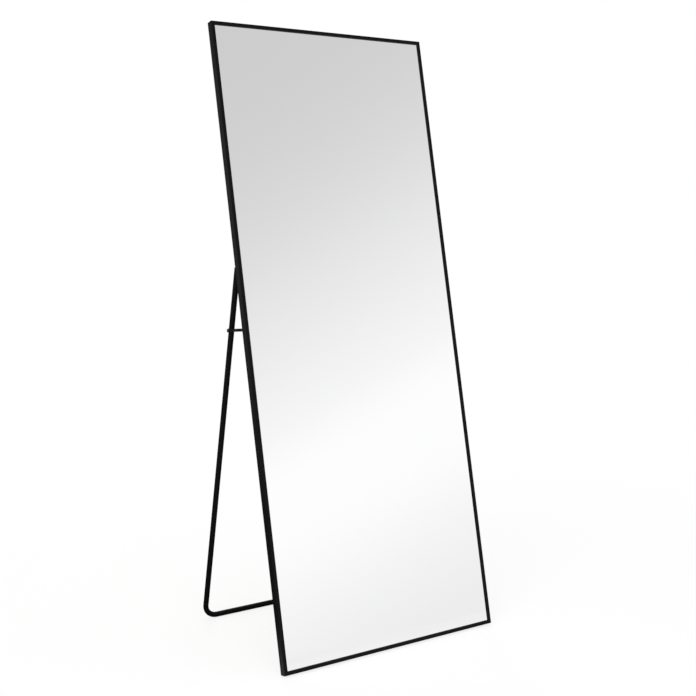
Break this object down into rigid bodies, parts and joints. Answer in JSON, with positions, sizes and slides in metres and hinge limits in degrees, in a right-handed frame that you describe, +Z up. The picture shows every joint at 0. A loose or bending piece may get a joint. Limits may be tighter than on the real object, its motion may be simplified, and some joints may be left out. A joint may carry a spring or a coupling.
{
  "type": "leaning floor mirror",
  "caption": "Full-length framed mirror on a folding U-shaped tube stand, held open by hook-over stays.",
  "frame": {"origin": "on the floor, in the middle of the footprint", "axes": "+Z up, +X to the right of somebody who looks into the mirror, the mirror faces -Y"},
  "size_m": [0.711, 0.5197, 1.7458],
  "materials": {
    "frame_metal": "satin black coating",
    "stand_metal": "satin black powder coat on steel",
    "mirror": "silvered float glass",
    "film": "grey splinter film",
    "board": "brown hardboard",
    "foam": "closed-cell foam strip",
    "rubber": "matt black rubber",
    "key_metal": "zinc-plated",
    "bracket_metal": "satin black powder coat on steel",
    "hardware": "black zinc-plated steel"
  },
  "bodies": {
    "mirror": {"left_rail": "frame_metal", "right_rail": "frame_metal", "top_rail": "frame_metal", "bottom_rail": "frame_metal", "corner_key_bottom_left": "key_metal", "corner_screws_bottom_left": "hardware", "corner_key_top_left": "key_metal", "corner_screws_top_left": "hardware", "corner_key_top_right": "key_metal", "corner_screws_top_right": "hardware", "corner_key_bottom_right": "key_metal", "corner_screws_bottom_right": "hardware", "mirror_glass": "mirror", "safety_film": "film", "backing_board": "board", "gasket_left": "foam", "gasket_right": "foam", "gasket_top": "foam", "gasket_bottom": "foam", "frame_foot_left": "rubber", "frame_foot_right": "rubber", "hinge_bracket_left": "bracket_metal", "hinge_bolt_left": "hardware", "hinge_nut_left": "hardware", "hinge_washers_left": "hardware", "hinge_bracket_screws_left": "hardware", "hinge_bracket_right": "bracket_metal", "hinge_bolt_right": "hardware", "hinge_nut_right": "hardware", "hinge_washers_right": "hardware", "hinge_bracket_screws_right": "hardware", "stay_bracket_left": "bracket_metal", "stay_rivet_left": "hardware", "stay_bracket_screws_left": "hardware", "stay_bracket_right": "bracket_metal", "stay_rivet_right": "hardware", "stay_bracket_screws_right": "hardware", "fold_bumper_left": "rubber", "fold_bumper_right": "rubber"},
    "stand": {"stand_tube": "stand_metal", "leg_eye_left": "hardware", "leg_eye_pin_left": "hardware", "stay_stud_left": "hardware", "stay_stud_nut_left": "hardware", "leg_eye_right": "hardware", "leg_eye_pin_right": "hardware", "stay_stud_right": "hardware", "stay_stud_nut_right": "hardware", "bar_sleeve_left": "rubber", "bar_sleeve_right": "rubber"},
    "stay_left": {"stay_bar_left": "bracket_metal"},
    "stay_right": {"stay_bar_right": "bracket_metal"}
  },
  "joints": [
    {"name": "stand_fold", "type": "hinge", "parent": "mirror", "child": "stand", "pos_m": [0, 0.00717, 1.08508], "axis": [-1, 0, 0], "range_deg": [0, 24.93]},
    {"name": "stay_left_swing", "type": "hinge", "parent": "mirror", "child": "stay_left", "pos_m": [0, -0.03541, 0.90706], "axis": [1, 0, 0], "range_deg": [0, 83.7]},
    {"name": "stay_right_swing", "type": "hinge", "parent": "mirror", "child": "stay_right", "pos_m": [0, -0.03541, 0.90706], "axis": [1, 0, 0], "range_deg": [0, 83.7]}
  ]
}
